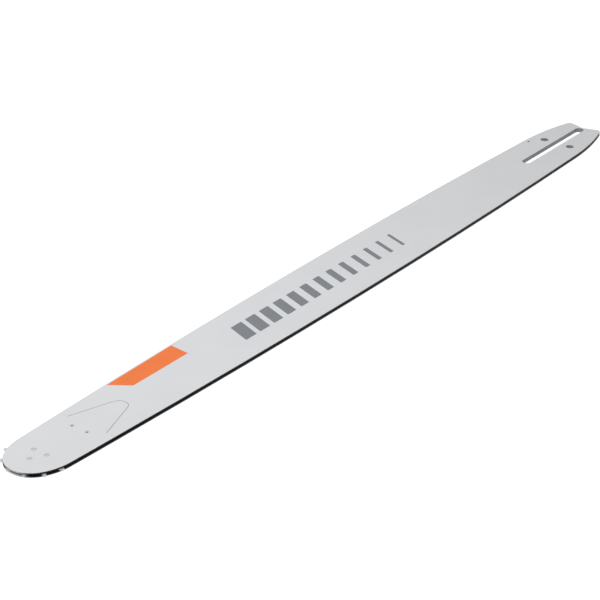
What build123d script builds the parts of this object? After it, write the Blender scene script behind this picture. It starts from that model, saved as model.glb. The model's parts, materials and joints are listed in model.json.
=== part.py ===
from build123d import *
import os
from math import acos, atan2, cos, degrees, hypot, pi, radians, sin, sqrt, tan

# Chainsaw guide bar with a riveted sprocket nose.
# The bar lies flat: X runs from the saw mount to the nose, Y across the bar and Z up through its thickness.
# The origin is on the slot's centreline, level with the two tensioner holes, on the lower face.
# All lengths are in millimetres and all angles in degrees.

# Section of the bar
bar_thickness = 4.0
groove_width = 1.3
groove_depth = 8.0
rail_chamfer = 0.25

# Outline of the bar
nose_x = 704.3
nose_radius = 21.9
cheek_radius = 45.0
cheek_step = 2.7
belly_x = 315.5
belly_half_width = 32.8
tail_arc_x = 12.0
tail_arc_radius = 243.0
tail_x = -52.6
tail_corner_radius = 4.0
notch_depth = 5.0

# Saw mount
slot_width = 8.3
slot_front_x = 58.9
slot_bridge = 2.2
tensioner_hole_diameter = 7.4
tensioner_hole_spacing = 27.6
oil_hole_diameter = 2.4
oil_hole_x = 13.2
oil_hole_inset = 4.6

# Seam between the bar and the replaceable nose
seam_setback = 53.4
seam_shoulder_y = 18.6
seam_angle = 18.4
seam_apex_radius = 7.0
seam_gap = 0.3
seam_butt_gap = 0.05

# Sprocket
tooth_count = 11
sprocket_setback = 2.5
tooth_projection = 1.6
gullet_depth = 8.2
gullet_radius = 3.0
tooth_tip_width = 1.0
tooth_tip_chamfer = 0.25
sprocket_turn = 6.4
sprocket_wall = 3.2
sprocket_side_clearance = 0.1
sprocket_tip_clearance = 0.8

# Roller bearing
roller_count = 18
roller_spacing = 0.36
running_clearance = 0.05

# Rivets
bearing_rivet_count = 3
bearing_rivet_diameter = 4.0
bearing_rivet_margin = 1.3
nose_rivet_setback = 45.8
nose_rivet_spacing = 14.4
nose_rivet_diameter = 3.6
punch_mark_diameter = 2.0
punch_mark_depth = 0.5
rivet_hole_clearance = 0.05
rivet_recess = 0.12

# Levels through the thickness
plate_thickness = (bar_thickness - groove_width) / 2
groove_floor_z = plate_thickness
groove_roof_z = plate_thickness + groove_width


def along(start, end, distance):
    """Point at a distance from start, on the line towards end."""
    share = distance / hypot(end[0] - start[0], end[1] - start[1])
    return start[0] + (end[0] - start[0]) * share, start[1] + (end[1] - start[1]) * share


# The long flank is one arc that is widest at the belly and runs tangent into the tail arc.
# Kept on past the nose, it would miss the round tip by the cheek's step.
nose_centre = (nose_x, 0.0)
nose_to_belly = nose_x - belly_x
flank_reach = nose_radius + cheek_step
belly_rise = belly_half_width - flank_reach
flank_radius = (nose_to_belly**2 + belly_half_width**2 - flank_reach**2) / (2 * belly_rise)
flank_centre = (belly_x, belly_half_width - flank_radius)
flank_to_nose = flank_radius - flank_reach

# A cheek on each side of the tip is one arc, tangent to the tip and to the flank.
# The centres of flank, tip and cheek make a triangle, which gives the place of the cheek.
flank_to_cheek = flank_radius - cheek_radius
cheek_to_nose = cheek_radius - nose_radius
cheek_turn = acos(
    (flank_to_nose**2 + flank_to_cheek**2 - cheek_to_nose**2) / (2 * flank_to_nose * flank_to_cheek)
)
cheek_end = atan2(-flank_centre[1], nose_to_belly) + cheek_turn
cheek_centre = (
    flank_centre[0] + flank_to_cheek * cos(cheek_end),
    flank_centre[1] + flank_to_cheek * sin(cheek_end),
)
nose_sweep = degrees(atan2(-cheek_centre[1], nose_x - cheek_centre[0]))
cheek_sweep = degrees(cheek_end) - nose_sweep

tail_arc_start = (tail_arc_x, flank_centre[1] + sqrt(flank_radius**2 - (tail_arc_x - belly_x) ** 2))
tail_arc_centre = along(tail_arc_start, flank_centre, tail_arc_radius)


def flank_front_x(inset=0.0):
    """Place along the bar where the flank arc meets the cheek, both moved inwards by the inset."""
    return along(flank_centre, cheek_centre, flank_radius - inset)[0]


def flank_back_x(inset=0.0):
    """Place along the bar where the flank arc meets the tail arc, both moved inwards by the inset."""
    return along(flank_centre, tail_arc_start, flank_radius - inset)[0]


def half_width(x, inset=0.0):
    """Distance from the centreline to the bar's edge behind the nose, with the edge moved inwards."""
    centre, radius = flank_centre, flank_radius
    if x < flank_back_x(inset):
        centre, radius = tail_arc_centre, tail_arc_radius
    return centre[1] + sqrt((radius - inset) ** 2 - (x - centre[0]) ** 2)


def edge_arc(x_start, x_end, inset=0.0):
    """One arc of the bar's edge behind the nose, on the +Y side."""
    places = (x_start, (x_start + x_end) / 2, x_end)
    ThreePointArc(*[(x, half_width(x, inset)) for x in places])


def nose_arcs(inset=0.0):
    """Tip and cheek of the nose on the +Y side."""
    CenterArc(nose_centre, nose_radius - inset, 0, nose_sweep)
    CenterArc(cheek_centre, cheek_radius - inset, nose_sweep, cheek_sweep)


def half_outline(inset=0.0):
    """Edge of the whole bar on the +Y side, from the tip of the nose to the tail."""
    nose_arcs(inset)
    edge_arc(flank_front_x(inset), flank_back_x(inset), inset)
    edge_arc(flank_back_x(inset), tail_x, inset)


# Outline of the whole bar, with its notched tail
notch_x = tail_x + notch_depth
with BuildSketch() as bar_outline:
    with BuildLine():
        half_outline()
        Line((tail_x, half_width(tail_x)), (notch_x, 0))
        mirror(about=Plane.XZ)
    make_face()
    fillet(bar_outline.vertices().group_by(Axis.X)[0], radius=tail_corner_radius)

# Outline of the web between the two chain grooves
with BuildSketch() as web_outline:
    with BuildLine():
        half_outline(groove_depth)
        Line((tail_x, half_width(tail_x, groove_depth)), (tail_x, 0))
        mirror(about=Plane.XZ)
    make_face()

# Shoulders and point of the V seam
seam_x = nose_x - seam_setback
seam_point_x = seam_x - seam_shoulder_y / tan(radians(seam_angle))


def half_nose(butt_gap=0.0, gap=0.0):
    """Edge of the nose on the +Y side, moved outwards by one gap at its shoulders and another elsewhere."""
    butt_x = seam_x - butt_gap
    point_x = seam_point_x - gap / sin(radians(seam_angle))
    butt_y = (butt_x - point_x) * tan(radians(seam_angle))
    nose_arcs(-gap)
    edge_arc(flank_front_x(-gap), butt_x, -gap)
    Polyline((butt_x, half_width(butt_x, -gap)), (butt_x, butt_y), (point_x, 0))


# Outline of a nose plate, with its V tail
with BuildSketch() as nose_outline:
    with BuildLine():
        half_nose()
        mirror(about=Plane.XZ)
    make_face()
    fillet(nose_outline.vertices().sort_by(Axis.X)[0], radius=seam_apex_radius)

# Cut in the bar that takes the nose plates: it butts on their shoulders and leaves a gap along the V
with BuildSketch() as seam_cut:
    with BuildLine():
        half_nose(seam_butt_gap, seam_gap)
        mirror(about=Plane.XZ)
    make_face()
    fillet(seam_cut.vertices().sort_by(Axis.X)[0], radius=seam_apex_radius + seam_gap)

# The sprocket's centre is a little behind that of the tip, about level with both cheeks.
# The sizes of the sprocket and its bearing follow from the tips of the teeth inwards.
sprocket_centre = (nose_x - sprocket_setback, 0.0)
sprocket_thickness = groove_width - 2 * sprocket_side_clearance
sprocket_z = groove_floor_z + sprocket_side_clearance
tip_radius = nose_radius + sprocket_setback + tooth_projection
root_radius = tip_radius - gullet_depth
sprocket_bore_radius = root_radius - sprocket_wall

# The rollers fill the ring: each is as wide as its share of the orbit, less the spacing
roller_reach = sprocket_bore_radius - running_clearance
half_share = sin(pi / roller_count)
roller_diameter = (2 * roller_reach * half_share - roller_spacing) / (1 + half_share)
roller_orbit_radius = roller_reach - roller_diameter / 2
race_radius = roller_orbit_radius - roller_diameter / 2 - running_clearance

# Sizes and places of the rivet holes
bearing_rivet_hole_radius = bearing_rivet_diameter / 2 + rivet_hole_clearance
bearing_rivet_circle_radius = race_radius - bearing_rivet_margin - bearing_rivet_hole_radius
nose_rivet_hole_radius = nose_rivet_diameter / 2 + rivet_hole_clearance
nose_rivet_centre = (nose_x - nose_rivet_setback, 0)


def bearing_rivet_places():
    """Places of the rivets round the sprocket's centre."""
    return PolarLocations(bearing_rivet_circle_radius, bearing_rivet_count)


def nose_rivet_places():
    """Places of the pair of rivets behind the sprocket, on both sides of the centreline."""
    return GridLocations(0, nose_rivet_spacing, 1, 2)


# Solid bar: rails on both sides of the grooves, saw mount, and a tongue that goes between the nose plates.
# The tongue's root reaches past the seam, so that it grows out of the web.
slot_tail_x = notch_x + slot_bridge
slot_length = slot_front_x - slot_tail_x
oil_hole_y = half_width(oil_hole_x) - oil_hole_inset
with BuildPart() as bar_body:
    with BuildSketch():
        add(bar_outline.sketch)
        add(seam_cut.sketch, mode=Mode.SUBTRACT)
    extrude(amount=bar_thickness)
    round_edges = bar_body.edges().filter_by(GeomType.CIRCLE)
    chamfer(round_edges.filter_by(lambda edge: edge.radius > nose_radius), length=rail_chamfer)
    with BuildSketch():
        with Locations(((slot_front_x + slot_tail_x) / 2, 0)):
            SlotOverall(slot_length, slot_width)
        with GridLocations(0, tensioner_hole_spacing, 1, 2):
            Circle(tensioner_hole_diameter / 2)
    extrude(amount=bar_thickness, mode=Mode.SUBTRACT)
    with BuildSketch(Plane.XY.offset(groove_floor_z)):
        add(bar_outline.sketch)
        offset(amount=groove_depth)
        add(web_outline.sketch, mode=Mode.SUBTRACT)
    extrude(amount=groove_width, mode=Mode.SUBTRACT)
    with BuildSketch(Plane.XY.offset(groove_floor_z)):
        add(seam_cut.sketch)
        offset(amount=seam_gap)
        add(web_outline.sketch, mode=Mode.INTERSECT)
        with Locations(sprocket_centre):
            Circle(tip_radius + sprocket_tip_clearance, mode=Mode.SUBTRACT)
        with Locations(nose_rivet_centre), nose_rivet_places():
            Circle(nose_rivet_hole_radius, mode=Mode.SUBTRACT)
    extrude(amount=groove_width)
    with BuildSketch(Plane.XY.offset(groove_roof_z)):
        with Locations((oil_hole_x, -oil_hole_y)):
            Circle(oil_hole_diameter / 2)
    extrude(amount=plate_thickness, mode=Mode.SUBTRACT)
    with BuildSketch():
        with Locations((oil_hole_x, oil_hole_y)):
            Circle(oil_hole_diameter / 2)
    extrude(amount=plate_thickness, mode=Mode.SUBTRACT)
bar_body.part.label = "bar_body"

# Upper side plate of the nose, and its mirror image on the lower side
with BuildPart() as nose_plate_upper:
    with BuildSketch(Plane.XY.offset(groove_roof_z)):
        add(nose_outline.sketch)
    extrude(amount=plate_thickness)
    upper_rim = nose_plate_upper.edges().group_by(Axis.Z)[-1].filter_by(GeomType.CIRCLE)
    chamfer(upper_rim.filter_by(lambda edge: edge.radius > seam_apex_radius), length=rail_chamfer)
    with Locations((*sprocket_centre, bar_thickness)), bearing_rivet_places():
        Hole(bearing_rivet_hole_radius)
    with Locations((*nose_rivet_centre, bar_thickness)), nose_rivet_places():
        Hole(nose_rivet_hole_radius)
nose_plate_upper.part.label = "nose_plate_upper"

with BuildPart() as nose_plate_lower:
    add(nose_plate_upper.part)
    mirror(about=Plane.XY.offset(bar_thickness / 2), mode=Mode.REPLACE)
nose_plate_lower.part.label = "nose_plate_lower"

# Rounded V gullet between two teeth, which takes the tang of a chain's drive link.
# Its flanks run from the tips of the teeth, tangent to the round root.
mouth_half_width = (2 * pi * tip_radius / tooth_count - tooth_tip_width) / 2
root_centre_depth = gullet_depth - gullet_radius
mouth_to_root_centre = hypot(mouth_half_width, root_centre_depth)
flank_angle = acos(gullet_radius / mouth_to_root_centre) - atan2(root_centre_depth, mouth_half_width)
gullet_point_radius = root_radius + gullet_radius - gullet_radius / sin(flank_angle)
with BuildSketch() as gullet:
    with BuildLine():
        Polyline(
            (gullet_point_radius, 0),
            (tip_radius, mouth_half_width),
            (tip_radius + gullet_radius, mouth_half_width),
            (tip_radius + gullet_radius, 0),
        )
        mirror(about=Plane.XZ)
    make_face()
    fillet(gullet.vertices().sort_by(Axis.X)[0], radius=gullet_radius)

# Star-shaped sprocket, standing a little turned, with a plain bore for the rollers
with BuildPart() as nose_sprocket:
    with BuildSketch(Plane.XY.offset(sprocket_z)):
        with Locations(sprocket_centre):
            Circle(tip_radius)
            Circle(sprocket_bore_radius, mode=Mode.SUBTRACT)
        with Locations(sprocket_centre), PolarLocations(0, tooth_count, sprocket_turn):
            add(gullet.sketch, mode=Mode.SUBTRACT)
    extrude(amount=sprocket_thickness)
    round_faces = nose_sprocket.faces().filter_by(GeomType.CYLINDER)
    tip_faces = round_faces.filter_by(lambda face: face.radius == tip_radius)
    chamfer(tip_faces.edges().filter_by(Axis.Z), length=tooth_tip_chamfer)
nose_sprocket.part.label = "nose_sprocket"

# Fixed disc that the rollers run on, as thick as the gap between the nose plates
with BuildPart() as bearing_inner_race:
    with BuildSketch(Plane.XY.offset(groove_floor_z)):
        with Locations(sprocket_centre):
            Circle(race_radius)
        with Locations(sprocket_centre), bearing_rivet_places():
            Circle(bearing_rivet_hole_radius, mode=Mode.SUBTRACT)
    extrude(amount=groove_width)
bearing_inner_race.part.label = "bearing_inner_race"


def bearing_roller(index):
    """One short roller between the disc and the sprocket's bore."""
    with BuildPart() as roller:
        with BuildSketch(Plane.XY.offset(sprocket_z)):
            with Locations(sprocket_centre), PolarLocations(roller_orbit_radius, 1, index * 360 / roller_count):
                Circle(roller_diameter / 2)
        extrude(amount=sprocket_thickness)
    roller.part.label = f"roller_{index + 1:02d}"
    return roller


# Plain rivets that hold the disc between the nose plates, ground just below both faces
with BuildPart() as bearing_rivets:
    with BuildSketch(Plane.XY.offset(rivet_recess)):
        with Locations(sprocket_centre), bearing_rivet_places():
            Circle(bearing_rivet_diameter / 2)
    extrude(amount=bar_thickness - 2 * rivet_recess)
bearing_rivets.part.label = "bearing_rivets"

# Rivets that hold the nose plates on the tongue, each end spread by a conical punch mark
rivet_end = bar_thickness / 2 - rivet_recess
with BuildPart() as nose_rivet:
    with BuildSketch(Plane.XZ.shift_origin((0, 0, bar_thickness / 2))):
        with BuildLine():
            Polyline(
                (0, 0),
                (0, rivet_end - punch_mark_depth),
                (punch_mark_diameter / 2, rivet_end),
                (nose_rivet_diameter / 2, rivet_end),
                (nose_rivet_diameter / 2, 0),
            )
            mirror(about=Plane.XZ)
        make_face()
    revolve(axis=Axis.Z)
with BuildPart() as nose_rivets:
    with Locations(nose_rivet_centre), nose_rivet_places():
        add(nose_rivet.part)
nose_rivets.part.label = "nose_rivets"

pieces = [bar_body, nose_plate_upper, nose_plate_lower, nose_sprocket, bearing_inner_race]
pieces += [bearing_roller(index) for index in range(roller_count)]
pieces += [bearing_rivets, nose_rivets]
os.makedirs("parts", exist_ok=True)
for piece in pieces:
    export_step(piece.part, f"parts/{piece.part.label}.step")
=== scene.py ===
"""Dresses the chainsaw guide bar and sets it in a plain white studio.

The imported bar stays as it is: its pieces only take finishes here. What is added lies on its upper face:
an orange printed panel behind the nose seam and a row of plain grey stripes along the middle.
All lengths are in metres, in the part's own frame: X from the saw mount to the nose, Y across, Z up.
"""

import json
import logging
import math
from dataclasses import dataclass, field
from enum import Enum

import bmesh
import bpy
from mathutils import Matrix, Vector

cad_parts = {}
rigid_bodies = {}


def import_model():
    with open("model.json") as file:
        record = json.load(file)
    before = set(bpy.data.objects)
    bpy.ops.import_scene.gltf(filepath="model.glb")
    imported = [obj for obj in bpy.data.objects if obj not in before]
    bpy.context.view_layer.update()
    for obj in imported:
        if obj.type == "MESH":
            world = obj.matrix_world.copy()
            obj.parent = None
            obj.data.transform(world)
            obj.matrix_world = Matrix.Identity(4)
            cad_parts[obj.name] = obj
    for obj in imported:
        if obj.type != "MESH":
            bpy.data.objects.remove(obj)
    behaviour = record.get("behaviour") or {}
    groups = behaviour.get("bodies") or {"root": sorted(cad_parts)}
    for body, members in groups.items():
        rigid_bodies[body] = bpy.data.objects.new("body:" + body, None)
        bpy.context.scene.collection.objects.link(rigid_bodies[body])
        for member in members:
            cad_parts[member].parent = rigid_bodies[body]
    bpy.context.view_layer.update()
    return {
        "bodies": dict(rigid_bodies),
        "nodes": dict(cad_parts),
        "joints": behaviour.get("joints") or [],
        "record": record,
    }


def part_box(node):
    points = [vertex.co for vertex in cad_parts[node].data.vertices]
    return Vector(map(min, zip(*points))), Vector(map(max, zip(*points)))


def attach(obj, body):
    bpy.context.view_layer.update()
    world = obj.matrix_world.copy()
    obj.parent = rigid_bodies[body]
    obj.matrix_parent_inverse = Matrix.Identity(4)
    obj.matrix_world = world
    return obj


LOG = logging.getLogger("guide_bar")
MM = 0.001

Colour = tuple[float, float, float]
Place = tuple[float, float, float]
Point = tuple[float, float]
Span = tuple[float, float]
Socket = bpy.types.NodeSocket
Feed = Socket | float | Colour

# Most values of a noise pattern lie in this range.
PATTERN_SPAN: Span = (0.3, 0.7)


class Body(Enum):
    """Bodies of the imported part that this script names."""

    BAR = "bar"
    ROLLER_RING = "roller_ring"


class Grain(Enum):
    """Direction of the machining marks on bare steel."""

    TURNED = "rings round the sprocket's axis"
    GROUND = "lines along the bar"


class NodeBench:
    """Node tree of one material, with short calls for the nodes that the finishes share."""

    def __init__(self, name: str) -> None:
        """Starts a material with an empty node tree.

        Args:
            name: name of the material.
        """
        self.material = bpy.data.materials.new(name)
        self.material.use_nodes = True
        self.tree = self.material.node_tree
        self.tree.nodes.clear()

    def node(self, kind: str, **settings: object) -> bpy.types.Node:
        """Adds a node.

        Args:
            kind: Blender's name of the node's type.
            settings: values for the node's own properties.

        Returns:
            The new node.
        """
        node = self.tree.nodes.new(kind)
        for name, value in settings.items():
            setattr(node, name, value)
        return node

    def feed(self, socket: Socket, value: Feed) -> None:
        """Links a socket to another one, or sets it to a number or a colour.

        Args:
            socket: the input to fill.
            value: an output socket, a number, or a colour with no alpha.
        """
        if isinstance(value, Socket):
            self.tree.links.new(value, socket)
        elif isinstance(value, tuple) and socket.type == "RGBA":
            socket.default_value = (*value, 1.0)
        else:
            socket.default_value = value

    def math(self, operation: str, first: Feed, second: Feed = 0.0) -> Socket:
        """Works out one number from one or two others.

        Args:
            operation: Blender's name of the operation.
            first: first number.
            second: second number, which an operation on one number ignores.

        Returns:
            The result's socket.
        """
        node = self.node("ShaderNodeMath", operation=operation)
        self.feed(node.inputs[0], first)
        self.feed(node.inputs[1], second)
        return node.outputs[0]

    def spread(self, value: Feed, span: Span, low: float = 0.0, high: float = 1.0) -> Socket:
        """Maps a number smoothly from one range to another, clamped at both ends.

        Args:
            value: the number to map.
            span: its values that give low and high.
            low: result at the start of the span.
            high: result at the end of the span.

        Returns:
            The mapped number's socket.
        """
        node = self.node("ShaderNodeMapRange", interpolation_type="SMOOTHSTEP", clamp=True)
        for socket, number in zip(node.inputs[:5], (value, *span, low, high)):
            self.feed(socket, number)
        return node.outputs[0]

    def mix(self, share: Feed, first: Feed, second: Feed) -> Socket:
        """Blends two colours.

        Args:
            share: how much of the second colour there is, from 0 to 1.
            first: colour at share 0.
            second: colour at share 1.

        Returns:
            The blended colour's socket.
        """
        # A Mix node has sockets for every kind of data, and those for colours are told apart by number.
        node = self.node("ShaderNodeMix", data_type="RGBA", blend_type="MIX")
        self.feed(node.inputs["Factor"], share)
        self.feed(node.inputs[6], first)
        self.feed(node.inputs[7], second)
        return node.outputs[2]

    def blend(self, share: Feed, first: Feed, second: Feed) -> Socket:
        """Blends two numbers.

        Args:
            share: how much of the second number there is, from 0 to 1.
            first: number at share 0.
            second: number at share 1.

        Returns:
            The blended number's socket.
        """
        node = self.node("ShaderNodeMix", data_type="FLOAT")
        self.feed(node.inputs["Factor"], share)
        self.feed(node.inputs[2], first)
        self.feed(node.inputs[3], second)
        return node.outputs[0]

    def shade(self, colour: Feed, tone: Feed) -> Socket:
        """Makes a colour lighter or darker.

        Args:
            colour: the colour.
            tone: what it is multiplied by.

        Returns:
            The toned colour's socket.
        """
        node = self.node("ShaderNodeVectorMath", operation="SCALE")
        self.feed(node.inputs[0], colour)
        self.feed(node.inputs["Scale"], tone)
        return node.outputs[0]

    def place(self) -> Socket:
        """Gives the point on the piece, in the part's frame."""
        return self.node("ShaderNodeTexCoord").outputs["Object"]

    def axes(self, vector: Socket) -> list[Socket]:
        """Splits a vector into its axes.

        Args:
            vector: the vector's socket.

        Returns:
            The sockets of its X, Y and Z.
        """
        node = self.node("ShaderNodeSeparateXYZ")
        self.feed(node.inputs[0], vector)
        return list(node.outputs)

    def levelness(self) -> Socket:
        """Gives 1 on level faces, 0 on upright walls and a number between on chamfers and cones."""
        normal = self.node("ShaderNodeNewGeometry").outputs["True Normal"]
        return self.math("ABSOLUTE", self.axes(normal)[2])

    def noise(self, spacing: Place, detail: float = 2.0, place: Socket | None = None) -> Socket:
        """Makes an uneven pattern about as coarse as the given spacing along each axis.

        Args:
            spacing: distance from one spot to the next along X, Y and Z.
            detail: how much finer the smallest spots are, in halvings.
            place: the point to look up, or none for the point on the piece.

        Returns:
            The pattern's socket, with values around 0.5.
        """
        mapping = self.node("ShaderNodeMapping")
        self.feed(mapping.inputs["Vector"], place or self.place())
        mapping.inputs["Scale"].default_value = [1.0 / step for step in spacing]
        node = self.node("ShaderNodeTexNoise")
        self.feed(node.inputs["Vector"], mapping.outputs[0])
        node.inputs["Scale"].default_value = 1.0
        node.inputs["Detail"].default_value = detail
        return node.outputs[0]

    def ripple(self, pattern: Socket, low: float, high: float) -> Socket:
        """Turns a pattern into a number that varies between two others."""
        return self.spread(pattern, PATTERN_SPAN, low, high)

    def tone(self, pattern: Socket, amount: float) -> Socket:
        """Turns a pattern into a number that varies by that amount around 1."""
        return self.ripple(pattern, 1.0 - amount, 1.0 + amount)

    def bump(self, height: Feed, distance: float, strength: float) -> Socket:
        """Raises the surface by a pattern.

        Args:
            height: the pattern, from 0 to 1.
            distance: height of the relief.
            strength: how strongly it shows, from 0 to 1.

        Returns:
            The normal's socket.
        """
        node = self.node("ShaderNodeBump")
        node.inputs["Strength"].default_value = strength
        node.inputs["Distance"].default_value = distance
        self.feed(node.inputs["Height"], height)
        return node.outputs[0]

    def finish(self, **inputs: Feed) -> bpy.types.Material:
        """Ends the tree in a Principled shader.

        Args:
            inputs: values of the shader's sockets, with underscores for the spaces in their names.

        Returns:
            The finished material.
        """
        shader = self.node("ShaderNodeBsdfPrincipled")
        for name, value in inputs.items():
            self.feed(shader.inputs[name.replace("_", " ")], value)
        self.end(shader.outputs[0])
        return self.material

    def end(self, shader: Socket) -> None:
        """Leads a shader to the material's output."""
        output = self.node("ShaderNodeOutputMaterial")
        self.feed(output.inputs["Surface"], shader)


@dataclass(frozen=True)
class LacquerFinish:
    """Satin grey lacquer on the faces, ground chamfers lightened as a painted highlight, and black rails
    that are darker towards the nose.
    """

    lacquer: Colour = (0.665, 0.674, 0.692)
    # Ground steel on the chamfers, made lighter than the lacquer as a painted highlight along the face's
    # edge.
    edge: Colour = (0.80, 0.81, 0.82)
    # Rail colours at the two ends: the rails are darker towards the nose.
    rail_at_tail: Colour = (0.100, 0.100, 0.103)
    rail_at_nose: Colour = (0.006, 0.006, 0.007)
    # Painted highlight: colour that lightens the rim's walls at the tip of the nose, standing in for
    # light falling on them.
    tip_painted_highlight: Colour = (0.72, 0.72, 0.73)
    cut: Colour = (0.34, 0.34, 0.35)
    chamfer_span: Span = (0.40, 0.55)
    face_span: Span = (0.80, 0.95)
    cloud_spacing: float = 45 * MM
    cloud_contrast: float = 0.012
    speck_spacing: float = 0.35 * MM
    speck_contrast: float = 0.02
    peel_spacing: float = 1.3 * MM
    peel_height: float = 0.012 * MM
    peel_strength: float = 0.35
    streak_length: float = 30 * MM
    streak_width: float = 0.25 * MM
    streak_contrast_rail: float = 0.35
    streak_contrast_edge: float = 0.06
    rail_roughness: Span = (0.38, 0.62)
    face_roughness: Span = (0.40, 0.48)
    specular: float = 0.22
    rail_span: Span = (-50 * MM, 760 * MM)
    # Stretch along the bar over which the painted highlight at the tip fades in.
    tip_highlight_span: Span = (721.5 * MM, 727.4 * MM)
    mount_back: float = -46.8 * MM
    mount_front: float = 62 * MM
    mount_half_width: float = 18.5 * MM
    oil_hole: Point = (13.2 * MM, 23.2 * MM)
    oil_hole_reach: float = 2.0 * MM
    middle: float = 2.0 * MM
    groove_half_width: float = 0.7 * MM

    def mount_mask(self, bench: NodeBench) -> Socket:
        """Finds the slot and the holes of the saw mount.

        Args:
            bench: tree of the material.

        Returns:
            A socket that is 1 in the saw mount and at the oil holes, and 0 on the rails and the tail.
        """
        along, across, _ = bench.axes(bench.place())
        off_centre = bench.math("ABSOLUTE", across)
        past_tail = bench.math("GREATER_THAN", along, self.mount_back)
        behind_blade = bench.math("LESS_THAN", along, self.mount_front)
        inside_rails = bench.math("LESS_THAN", off_centre, self.mount_half_width)
        mount = bench.math("MULTIPLY", bench.math("MULTIPLY", past_tail, behind_blade), inside_rails)
        oil_along = bench.math("ABSOLUTE", bench.math("SUBTRACT", along, self.oil_hole[0]))
        oil_across = bench.math("ABSOLUTE", bench.math("SUBTRACT", off_centre, self.oil_hole[1]))
        oil_reach = bench.math("MAXIMUM", oil_along, oil_across)
        return bench.math("MAXIMUM", mount, bench.math("LESS_THAN", oil_reach, self.oil_hole_reach))

    def wall(self, bench: NodeBench) -> Socket:
        """Colours the upright walls: black rails, lightened at the tip by a painted highlight, and cut
        steel in the saw mount.

        Args:
            bench: tree of the material.

        Returns:
            The colour's socket.
        """
        along = bench.axes(bench.place())[0]
        # Rails darker towards the nose.
        rail = bench.mix(bench.spread(along, self.rail_span), self.rail_at_tail, self.rail_at_nose)
        # Painted highlight: the rim's walls turn light at the tip of the nose.
        rail = bench.mix(bench.spread(along, self.tip_highlight_span), rail, self.tip_painted_highlight)
        return bench.mix(self.mount_mask(bench), rail, self.cut)

    def material(self) -> bpy.types.Material:
        """Builds the material.

        Returns:
            The finished material.
        """
        bench = NodeBench("bar_lacquer_finish")
        levelness = bench.levelness()
        height = bench.axes(bench.place())[2]
        from_middle = bench.math("ABSOLUTE", bench.math("SUBTRACT", height, self.middle))
        outside = bench.math("GREATER_THAN", from_middle, self.groove_half_width)
        open_side = bench.math("MULTIPLY", bench.spread(levelness, self.chamfer_span), outside)
        level = bench.math("MULTIPLY", bench.spread(levelness, self.face_span), outside)
        streaks = bench.noise((self.streak_length, self.streak_width, self.streak_width), detail=3.0)
        peel = bench.noise((self.peel_spacing,) * 3, detail=1.0)
        clouds = bench.tone(bench.noise((self.cloud_spacing,) * 3), self.cloud_contrast)
        specks = bench.tone(bench.noise((self.speck_spacing,) * 3, detail=3.0), self.speck_contrast)
        lacquer = bench.shade(bench.shade(self.lacquer, clouds), specks)
        # Chamfers: ground steel lightened into a painted highlight.
        edge = bench.shade(self.edge, bench.tone(streaks, self.streak_contrast_edge))
        wall = bench.shade(self.wall(bench), bench.tone(streaks, self.streak_contrast_rail))
        rail_gloss = bench.ripple(streaks, *self.rail_roughness)
        face_gloss = bench.ripple(peel, *self.face_roughness)
        return bench.finish(
            Base_Color=bench.mix(open_side, wall, bench.mix(level, edge, lacquer)),
            Roughness=bench.blend(level, rail_gloss, face_gloss),
            Specular_IOR_Level=self.specular,
            Normal=bench.bump(bench.blend(level, streaks, peel), self.peel_height, self.peel_strength),
        )


@dataclass(frozen=True)
class SteelFinish:
    """Bare steel with machining marks."""

    name: str
    colour: Colour
    roughness: float
    grain: Grain
    axis: Point
    grain_spacing: float = 0.12 * MM
    grain_length: float = 40 * MM
    mark_depth: float = 0.004 * MM
    mark_strength: float = 0.4
    mark_contrast: float = 0.12
    smoother: float = 0.06
    rougher: float = 0.08
    cloud_spacing: float = 6 * MM
    tint: Colour = (0.33, 0.27, 0.21)
    tint_span: Span = (0.35, 0.75)
    tint_share: float = 0.0

    def marks(self, bench: NodeBench) -> Socket:
        """Makes the machining marks.

        Args:
            bench: tree of the material.

        Returns:
            The pattern's socket.
        """
        if self.grain is Grain.GROUND:
            return bench.noise((self.grain_length, self.grain_spacing, self.grain_spacing), detail=3.0)
        along, across, height = bench.axes(bench.place())
        reach_x = bench.math("SUBTRACT", along, self.axis[0])
        reach_y = bench.math("SUBTRACT", across, self.axis[1])
        square = bench.math("ADD", bench.math("POWER", reach_x, 2.0), bench.math("POWER", reach_y, 2.0))
        ring = bench.node("ShaderNodeCombineXYZ")
        bench.feed(ring.inputs[0], bench.math("SQRT", square))
        bench.feed(ring.inputs[2], height)
        return bench.noise((self.grain_spacing,) * 3, detail=3.0, place=ring.outputs[0])

    def material(self) -> bpy.types.Material:
        """Builds the material.

        Returns:
            The finished material.
        """
        bench = NodeBench(self.name)
        marks = self.marks(bench)
        clouds = bench.noise((self.cloud_spacing,) * 3)
        tinted = bench.spread(clouds, self.tint_span, 0.0, self.tint_share)
        colour = bench.mix(tinted, self.colour, self.tint)
        return bench.finish(
            Base_Color=bench.shade(colour, bench.tone(marks, self.mark_contrast)),
            Metallic=1.0,
            Roughness=bench.ripple(marks, self.roughness - self.smoother, self.roughness + self.rougher),
            Normal=bench.bump(marks, self.mark_depth, self.mark_strength),
        )


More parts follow.
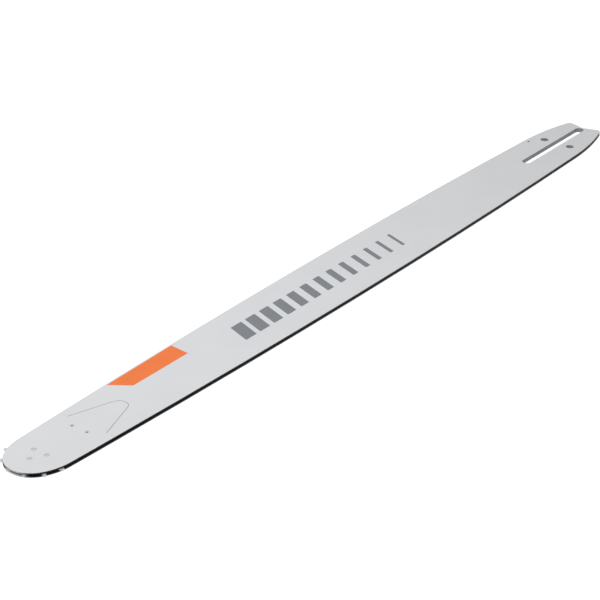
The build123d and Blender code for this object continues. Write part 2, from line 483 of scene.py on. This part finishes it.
@dataclass(frozen=True)
class RivetFinish:
    """Rivet ends under the lacquer, with dark bare shanks and punch marks, whose dark colour is also
    painted shade in the punch marks' hollows.
    """

    name: str
    lacquer: Colour
    # Dark bare steel on shanks and punch marks; in the punch marks it is also painted shade in the
    # hollow.
    bare: Colour = (0.25, 0.25, 0.26)
    end_span: Span = (0.93, 0.97)
    speck_spacing: float = 0.3 * MM
    speck_contrast: float = 0.05
    speck_height: float = 0.01 * MM
    speck_strength: float = 0.3
    roughness: Span = (0.38, 0.50)
    specular: float = 0.22

    def material(self) -> bpy.types.Material:
        """Builds the material.

        Returns:
            The finished material.
        """
        bench = NodeBench(self.name)
        specks = bench.noise((self.speck_spacing,) * 3, detail=3.0)
        # Cones and shanks take the dark colour: bare steel, and painted shade in the punch marks.
        colour = bench.mix(bench.spread(bench.levelness(), self.end_span), self.bare, self.lacquer)
        return bench.finish(
            Base_Color=bench.shade(colour, bench.tone(specks, self.speck_contrast)),
            Roughness=bench.ripple(specks, *self.roughness),
            Specular_IOR_Level=self.specular,
            Normal=bench.bump(specks, self.speck_height, self.speck_strength),
        )


@dataclass(frozen=True)
class InkFinish:
    """Screen-printed ink: an even colour with a faint mesh grain."""

    name: str
    colour: Colour
    roughness: float
    roughness_swing: float = 0.05
    grain_spacing: float = 0.22 * MM
    grain_contrast: float = 0.035
    grain_height: float = 0.005 * MM
    grain_strength: float = 0.3
    cloud_spacing: float = 14 * MM
    cloud_contrast: float = 0.02
    specular: float = 0.25

    def material(self) -> bpy.types.Material:
        """Builds the material.

        Returns:
            The finished material.
        """
        bench = NodeBench(self.name)
        grain = bench.noise((self.grain_spacing,) * 3)
        clouds = bench.noise((self.cloud_spacing,) * 3)
        grain_tone = bench.tone(grain, self.grain_contrast)
        cloud_tone = bench.tone(clouds, self.cloud_contrast)
        swing = self.roughness_swing
        return bench.finish(
            Base_Color=bench.shade(self.colour, bench.math("MULTIPLY", grain_tone, cloud_tone)),
            Roughness=bench.ripple(grain, self.roughness - swing, self.roughness + swing),
            Specular_IOR_Level=self.specular,
            Normal=bench.bump(grain, self.grain_height, self.grain_strength),
        )


@dataclass(frozen=True)
class FloorFinish:
    """White floor that shows as white and keeps a faint shadow."""

    colour: Colour = (0.86, 0.86, 0.86)
    shadow_share: float = 0.30
    glow: float = 0.88

    def material(self) -> bpy.types.Material:
        """Builds the material.

        Returns:
            The finished material.
        """
        bench = NodeBench("studio_floor")
        rays = bench.node("ShaderNodeLightPath").outputs
        seen = bench.math("MAXIMUM", rays["Is Camera Ray"], rays["Is Glossy Ray"])
        seen = bench.math("MAXIMUM", seen, rays["Is Transmission Ray"])
        plain = bench.node("ShaderNodeBsdfDiffuse")
        bench.feed(plain.inputs["Color"], self.colour)
        shaded = bench.node("ShaderNodeBsdfDiffuse")
        bench.feed(shaded.inputs["Color"], (self.shadow_share,) * 3)
        glow = bench.node("ShaderNodeEmission")
        bench.feed(glow.inputs["Strength"], self.glow)
        white = bench.node("ShaderNodeAddShader")
        bench.feed(white.inputs[0], shaded.outputs[0])
        bench.feed(white.inputs[1], glow.outputs[0])
        mixed = bench.node("ShaderNodeMixShader")
        bench.feed(mixed.inputs[0], seen)
        bench.feed(mixed.inputs[1], plain.outputs[0])
        bench.feed(mixed.inputs[2], white.outputs[0])
        bench.end(mixed.outputs[0])
        return bench.material


def dress(node: bpy.types.Object, material: bpy.types.Material) -> None:
    """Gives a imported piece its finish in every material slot.

    Args:
        node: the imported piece.
        material: its finish.
    """
    for slot in node.material_slots:
        slot.material = material
    LOG.info("dressed %s in %s", node.name, material.name)


def film(name: str, outlines: list[list[Point]], bottom: float, thickness: float) -> bpy.types.Object:
    """Makes a thin closed film with one or more separate areas.

    Args:
        name: name of the piece.
        outlines: corners of each area, anticlockwise from above.
        bottom: height of the face that carries the film.
        thickness: thickness of the film.

    Returns:
        The new piece.
    """
    shell = bmesh.new()
    for outline in outlines:
        lower = [shell.verts.new((x, y, bottom)) for x, y in outline]
        upper = [shell.verts.new((x, y, bottom + thickness)) for x, y in outline]
        shell.faces.new(lower[::-1])
        shell.faces.new(upper)
        for index in range(len(outline)):
            after = (index + 1) % len(outline)
            shell.faces.new((lower[index], lower[after], upper[after], upper[index]))
    mesh = bpy.data.meshes.new(name)
    shell.to_mesh(mesh)
    shell.free()
    piece = bpy.data.objects.new(name, mesh)
    bpy.context.scene.collection.objects.link(piece)
    return piece


def rounded(corners: list[Point], radius: float, steps: int = 5) -> list[Point]:
    """Rounds the corners of an outline with arcs.

    Args:
        corners: corners of the outline, anticlockwise.
        radius: radius of the arcs.
        steps: stretches in each arc.

    Returns:
        The points of the rounded outline.
    """
    points: list[Point] = []
    for index, corner in enumerate(corners):
        here = Vector(corner)
        to_last = (Vector(corners[index - 1]) - here).normalized()
        to_next = (Vector(corners[(index + 1) % len(corners)]) - here).normalized()
        half_turn = to_last.angle(to_next) / 2
        centre = here + (to_last + to_next).normalized() * (radius / math.sin(half_turn))
        start = here + to_last * (radius / math.tan(half_turn)) - centre
        sweep = math.pi - 2 * half_turn
        for step in range(steps + 1):
            turned = Matrix.Rotation(sweep * step / steps, 2) @ start
            points.append(tuple(centre + turned))
    return points


@dataclass
class Blade:
    """The solid bar with its rails, grooves and saw mount."""

    frame: dict
    finish: LacquerFinish = field(default_factory=LacquerFinish)
    rim_floor: float = 20 * MM
    level_slack: float = 0.01 * MM

    @property
    def node(self) -> bpy.types.Object:
        """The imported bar."""
        return self.frame["nodes"]["bar_body"]

    @property
    def face_height(self) -> float:
        """Height of the upper face."""
        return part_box("bar_body")[1].z

    def rim(self) -> list[Point]:
        """Finds the outer edge of the upper face, on the panel's side of the centreline.

        Returns:
            Points (X, distance from the centreline) of the edge, from the tail to the nose seam.
        """
        lowest = self.face_height - self.level_slack
        level = [vertex.co for vertex in self.node.data.vertices if vertex.co.z > lowest]
        return sorted((co.x, -co.y) for co in level if -co.y > self.rim_floor)

    def half_width(self, x: float) -> float:
        """Measures the upper face from its centreline to its edge, on the panel's side.

        Args:
            x: place along the bar.

        Returns:
            The distance, read from the edge before and after that place.
        """
        edge = self.rim()
        before = max(point for point in edge if point[0] <= x)
        after = min(point for point in edge if point[0] > x)
        share = (x - before[0]) / (after[0] - before[0])
        return before[1] + (after[1] - before[1]) * share

    def dress(self) -> None:
        """Gives the bar its finish."""
        dress(self.node, self.finish.material())


@dataclass
class Nose:
    """The two nose plates and the rivets that hold them."""

    frame: dict
    plates: tuple[str, ...] = ("nose_plate_upper", "nose_plate_lower")
    bearing_rivet_lacquer: Colour = (0.545, 0.552, 0.567)
    nose_rivet_lacquer: Colour = (0.64, 0.648, 0.665)

    def dress(self, lacquer: bpy.types.Material) -> None:
        """Gives the plates the bar's lacquer and the rivets their own finishes.

        Args:
            lacquer: the bar's finish.
        """
        for name in self.plates:
            dress(self.frame["nodes"][name], lacquer)
        bearing_rivet = RivetFinish("bearing_rivet_finish", self.bearing_rivet_lacquer)
        nose_rivet = RivetFinish("nose_rivet_finish", self.nose_rivet_lacquer)
        dress(self.frame["nodes"]["bearing_rivets"], bearing_rivet.material())
        dress(self.frame["nodes"]["nose_rivets"], nose_rivet.material())


@dataclass
class Bearing:
    """The sprocket, the fixed race inside it and the ring of rollers."""

    frame: dict
    sprocket_colour: Colour = (0.52, 0.52, 0.53)
    sprocket_roughness: float = 0.42
    sprocket_tint: float = 0.25
    race_colour: Colour = (0.52, 0.52, 0.53)
    race_roughness: float = 0.30
    roller_colour: Colour = (0.62, 0.62, 0.63)
    roller_roughness: float = 0.22

    @property
    def axis(self) -> Point:
        """Centre of the sprocket, seen from above."""
        spin = next(joint for joint in self.frame["joints"] if joint["name"] == "sprocket_spin")
        return spin["pos_m"][0], spin["pos_m"][1]

    def steel(
        self, name: str, colour: Colour, roughness: float, grain: Grain, tint: float = 0.0
    ) -> bpy.types.Material:
        """Makes the steel of one kind of piece, with tinted patches where a tint is given."""
        return SteelFinish(name, colour, roughness, grain, self.axis, tint_share=tint).material()

    def dress(self) -> None:
        """Gives each piece of the bearing its steel."""
        nodes = self.frame["nodes"]
        sprocket = self.steel(
            "sprocket_finish",
            self.sprocket_colour,
            self.sprocket_roughness,
            Grain.TURNED,
            self.sprocket_tint,
        )
        dress(nodes["nose_sprocket"], sprocket)
        race = self.steel("race_finish", self.race_colour, self.race_roughness, Grain.TURNED)
        dress(nodes["bearing_inner_race"], race)
        roller = self.steel("roller_finish", self.roller_colour, self.roller_roughness, Grain.GROUND)
        for name in self.frame["record"]["behaviour"]["bodies"][Body.ROLLER_RING.value]:
            dress(nodes[name], roller)


@dataclass
class Print:
    """What is printed on the upper face: an orange panel at the edge and a row of grey stripes."""

    blade: Blade
    thickness: float = 0.02 * MM
    panel_front_edge: float = 600.2 * MM
    panel_front_inner: float = 588.7 * MM
    panel_back_inner: float = 526.4 * MM
    panel_back_edge: float = 525.0 * MM
    panel_inner_y: float = 10.9 * MM
    panel_margin: float = 1.3 * MM
    panel_steps: int = 12
    stripe_count: int = 13
    stripe_pitch: float = 17.6 * MM
    stripe_widest: float = 13.0 * MM
    stripe_narrowest: float = 3.5 * MM
    stripe_front: float = 483 * MM
    stripe_half_height: float = 11.0 * MM
    stripe_lean: float = 8.0 * MM
    stripe_corner: float = 0.8 * MM
    orange: InkFinish = InkFinish("orange_ink", (0.84, 0.178, 0.030), roughness=0.42)
    grey: InkFinish = InkFinish("grey_ink", (0.185, 0.20, 0.22), roughness=0.46)

    def lay(self, piece: bpy.types.Object, ink: InkFinish) -> None:
        """Inks a film and lets it ride on the bar.

        Args:
            piece: the film.
            ink: its finish.
        """
        piece.data.materials.append(ink.material())
        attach(piece, Body.BAR.value)
        LOG.info("laid %s", piece.name)

    def panel_outline(self) -> list[Point]:
        """Works out the panel, whose outer side follows the edge of the face.

        Returns:
            The outline's points, anticlockwise.
        """
        span = self.panel_front_edge - self.panel_back_edge
        shares = [step / self.panel_steps for step in range(self.panel_steps + 1)]
        places = [self.panel_back_edge + span * share for share in shares]
        outer = [(x, self.panel_margin - self.blade.half_width(x)) for x in places]
        inner = [(x, -self.panel_inner_y) for x in (self.panel_front_inner, self.panel_back_inner)]
        return outer + inner

    def stripe_outline(self, index: int) -> list[Point]:
        """Works out one leaning stripe.

        Args:
            index: its number, counted from the nose.

        Returns:
            The outline's points, anticlockwise, with rounded corners.
        """
        share = index / (self.stripe_count - 1)
        width = self.stripe_widest + (self.stripe_narrowest - self.stripe_widest) * share
        front = self.stripe_front - index * self.stripe_pitch
        lean, top = self.stripe_lean, self.stripe_half_height
        corners = [(front - width - lean, -top), (front - lean, -top), (front, top), (front - width, top)]
        return rounded(corners, self.stripe_corner)

    def build(self) -> None:
        """Makes the panel and the stripes."""
        height = self.blade.face_height
        panel = film("orange_panel", [self.panel_outline()], height, self.thickness)
        stripes = [self.stripe_outline(index) for index in range(self.stripe_count)]
        self.lay(panel, self.orange)
        self.lay(film("grey_stripes", stripes, height, self.thickness), self.grey)


@dataclass
class Studio:
    """White floor, soft light and the camera at the photograph's angle."""

    floor_size: float = 12.0
    floor_gap: float = 0.05 * MM
    world_strength: float = 0.48
    backdrop_strength: float = 1.0
    lamp_place: Place = (0.66, -0.10, 1.1)
    lamp_size: float = 0.9
    lamp_power: float = 7.6
    camera_place: Place = (1.534778, 0.854127, 0.73609)
    camera_azimuth: float = math.radians(36.976)
    camera_elevation: float = math.radians(27.36)
    camera_roll: float = math.radians(-0.430)
    camera_lens: float = 120.0
    camera_sensor: float = 36.0

    def build_floor(self) -> None:
        """Lays the floor just under the bar."""
        mesh = bpy.data.meshes.new("floor")
        reach = self.floor_size / 2
        corners = [(-reach, -reach), (reach, -reach), (reach, reach), (-reach, reach)]
        mesh.from_pydata([(x, y, -self.floor_gap) for x, y in corners], [], [(0, 1, 2, 3)])
        mesh.materials.append(FloorFinish().material())
        floor = bpy.data.objects.new("floor", mesh)
        bpy.context.scene.collection.objects.link(floor)

    def build_world(self) -> None:
        """Sets the white surroundings, which light the bar less than they show behind it and in gloss."""
        world = bpy.data.worlds.new("studio")
        world.use_nodes = True
        nodes, links = world.node_tree.nodes, world.node_tree.links
        nodes.clear()
        rays = nodes.new("ShaderNodeLightPath").outputs
        seen = nodes.new("ShaderNodeMath")
        seen.operation = "MAXIMUM"
        links.new(rays["Is Camera Ray"], seen.inputs[0])
        links.new(rays["Is Glossy Ray"], seen.inputs[1])
        level = nodes.new("ShaderNodeMapRange")
        level.inputs["To Min"].default_value = self.world_strength
        level.inputs["To Max"].default_value = self.backdrop_strength
        links.new(seen.outputs[0], level.inputs["Value"])
        background = nodes.new("ShaderNodeBackground")
        background.inputs["Color"].default_value = (1.0, 1.0, 1.0, 1.0)
        links.new(level.outputs[0], background.inputs["Strength"])
        output = nodes.new("ShaderNodeOutputWorld")
        links.new(background.outputs[0], output.inputs["Surface"])
        bpy.context.scene.world = world

    def build_lamp(self) -> None:
        """Hangs one soft lamp above the nose."""
        lamp = bpy.data.lights.new("softbox", "AREA")
        lamp.shape = "DISK"
        lamp.size = self.lamp_size
        lamp.energy = self.lamp_power
        softbox = bpy.data.objects.new("softbox", lamp)
        softbox.location = self.lamp_place
        bpy.context.scene.collection.objects.link(softbox)

    def build_camera(self) -> None:
        """Makes the camera and turns it to the photograph's angle."""
        azimuth, elevation = self.camera_azimuth, self.camera_elevation
        level = math.cos(elevation)
        back = Vector((level * math.cos(azimuth), level * math.sin(azimuth), math.sin(elevation)))
        level_right = Vector((-math.sin(azimuth), math.cos(azimuth), 0.0))
        level_up = back.cross(level_right)
        right = level_right * math.cos(self.camera_roll) - level_up * math.sin(self.camera_roll)
        up = back.cross(right)
        turn = Matrix((right, up, back)).transposed().to_4x4()
        lens = bpy.data.cameras.new("camera")
        lens.lens = self.camera_lens
        lens.sensor_width = self.camera_sensor
        camera = bpy.data.objects.new("camera", lens)
        camera.matrix_world = Matrix.Translation(self.camera_place) @ turn
        bpy.context.scene.collection.objects.link(camera)
        bpy.context.scene.camera = camera

    def build(self) -> None:
        """Builds the whole studio."""
        self.build_floor()
        self.build_world()
        self.build_lamp()
        self.build_camera()
        bpy.context.scene.view_settings.view_transform = "Standard"
        LOG.info("built the studio")


def clear_scene() -> None:
    """Removes whatever the starting scene holds."""
    for thing in list(bpy.data.objects):
        bpy.data.objects.remove(thing)


def main() -> None:
    """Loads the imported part, dresses its pieces and builds the studio round it."""
    logging.basicConfig(level=logging.INFO, format="%(name)s: %(message)s")
    clear_scene()
    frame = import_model()
    blade = Blade(frame)
    blade.dress()
    Nose(frame).dress(blade.node.material_slots[0].material)
    Bearing(frame).dress()
    Print(blade).build()
    Studio().build()


if __name__ == "__main__":
    main()
